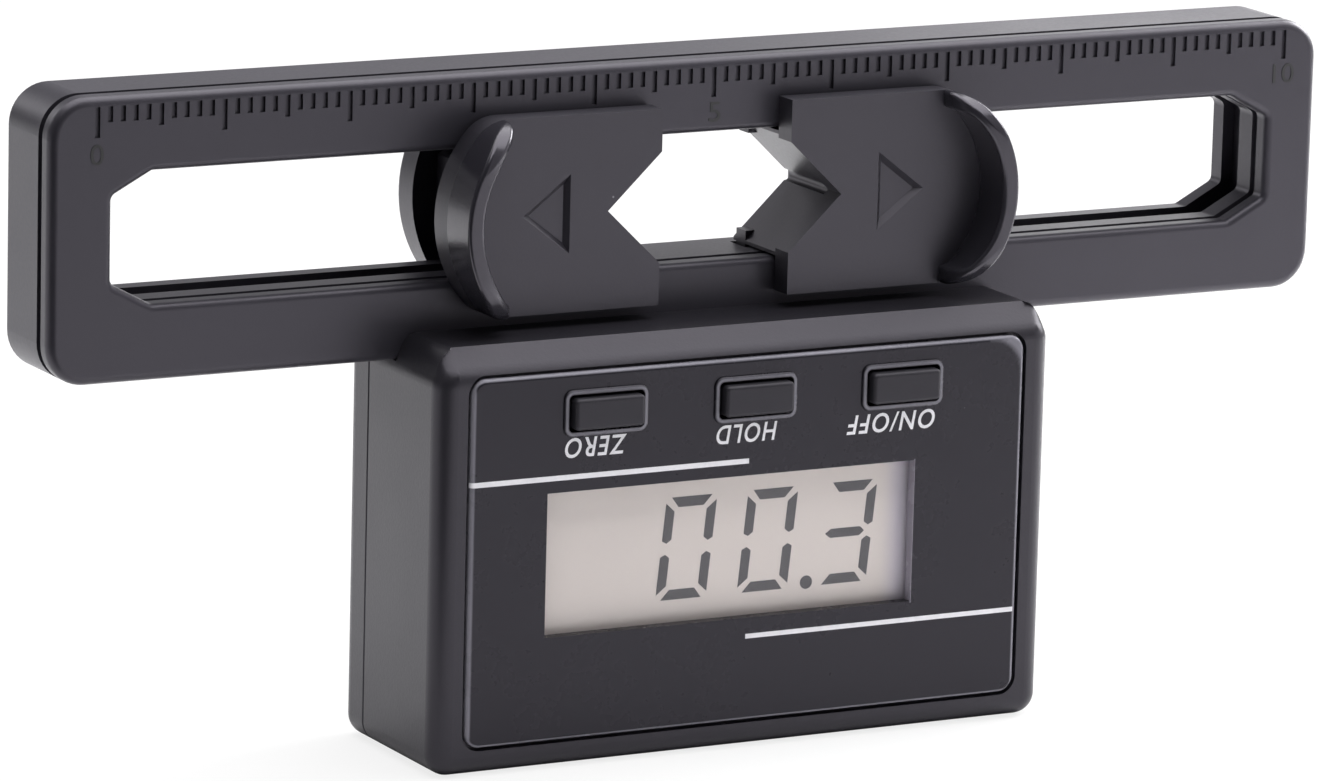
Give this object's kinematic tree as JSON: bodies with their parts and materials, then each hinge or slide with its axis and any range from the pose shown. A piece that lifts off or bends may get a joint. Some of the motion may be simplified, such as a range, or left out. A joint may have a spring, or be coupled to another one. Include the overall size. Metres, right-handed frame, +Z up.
{
  "type": "digital pitch gauge",
  "caption": "Digital pitch gauge: a slotted rail whose sprung V-jaws grip a rotor blade, over a readout case with a display, push keys and a rear battery door.",
  "frame": {"origin": "middle of the case's flat underside", "axes": "+X along the rail towards the high end of the scale, +Y from the display side to the battery door, +Z up from the case to the rail"},
  "size_m": [0.1068, 0.0198, 0.051],
  "materials": {
    "rail_plastic": "satin",
    "case_plastic": "fine grain",
    "jaw_plastic": "satin",
    "panel_gloss": "smooth",
    "window_clear": "clear",
    "lcd_reflective": "pale grey reflective display",
    "key_rubber": "matt",
    "white_plastic": "moulded",
    "strip_rubber": "striped elastomer",
    "board_green": "solder mask",
    "chip_black": "moulded",
    "screw_steel": "blackened",
    "spring_steel": "drawn",
    "can_steel": "plain"
  },
  "bodies": {
    "gauge": {"rail_cover": "rail_plastic", "rail_frame": "rail_plastic", "rail_back": "rail_plastic", "rail_back_screws": "screw_steel", "front_case": "case_plastic", "rear_cover": "case_plastic", "case_screws": "screw_steel", "front_panel": "panel_gloss", "display_window": "window_clear", "lcd_glass": "lcd_reflective", "lcd_holder": "white_plastic", "upper_contact_strip": "strip_rubber", "lower_contact_strip": "strip_rubber", "circuit_board": "board_green", "board_screws": "screw_steel", "controller_chip": "chip_black", "tilt_sensor": "chip_black", "crystal": "can_steel", "zero_switch": "chip_black", "hold_switch": "chip_black", "power_switch": "chip_black", "coin_cell": "can_steel", "cell_holder": "white_plastic", "positive_clip": "spring_steel", "negative_leaf": "spring_steel"},
    "left_jaw": {"left_jaw_plate": "jaw_plastic", "left_slider": "jaw_plastic", "left_rear_plate": "jaw_plastic", "left_jaw_screws": "screw_steel", "left_return_spring": "spring_steel"},
    "right_jaw": {"right_jaw_plate": "jaw_plastic", "right_slider": "jaw_plastic", "right_rear_plate": "jaw_plastic", "right_jaw_screws": "screw_steel", "right_return_spring": "spring_steel"},
    "zero_key": {"zero_key": "key_rubber", "zero_plunger": "white_plastic"},
    "hold_key": {"hold_key": "key_rubber", "hold_plunger": "white_plastic"},
    "power_key": {"power_key": "key_rubber", "power_plunger": "white_plastic"},
    "battery_door": {"battery_door": "case_plastic"}
  },
  "joints": [
    {"name": "left_jaw_slide", "type": "slide", "parent": "gauge", "child": "left_jaw", "axis": [-1, 0, 0], "range_m": [0, 0.0296], "stiffness_N_per_m": 25, "springref_m": -0.02, "deforming": ["left_return_spring"]},
    {"name": "right_jaw_slide", "type": "slide", "parent": "gauge", "child": "right_jaw", "axis": [1, 0, 0], "range_m": [0, 0.0296], "stiffness_N_per_m": 25, "springref_m": -0.02, "deforming": ["right_return_spring"]},
    {"name": "zero_key_press", "type": "slide", "parent": "gauge", "child": "zero_key", "axis": [0, 1, 0], "range_m": [0, 0.0005], "stiffness_N_per_m": 2000, "springref_m": -0.0002},
    {"name": "hold_key_press", "type": "slide", "parent": "gauge", "child": "hold_key", "axis": [0, 1, 0], "range_m": [0, 0.0005], "stiffness_N_per_m": 2000, "springref_m": -0.0002},
    {"name": "power_key_press", "type": "slide", "parent": "gauge", "child": "power_key", "axis": [0, 1, 0], "range_m": [0, 0.0005], "stiffness_N_per_m": 2000, "springref_m": -0.0002},
    {"name": "battery_door_twist", "type": "hinge", "parent": "gauge", "child": "battery_door", "pos_m": [0, 0.0078, 0.014], "axis": [0, 1, 0], "range_deg": [0, 50]}
  ]
}
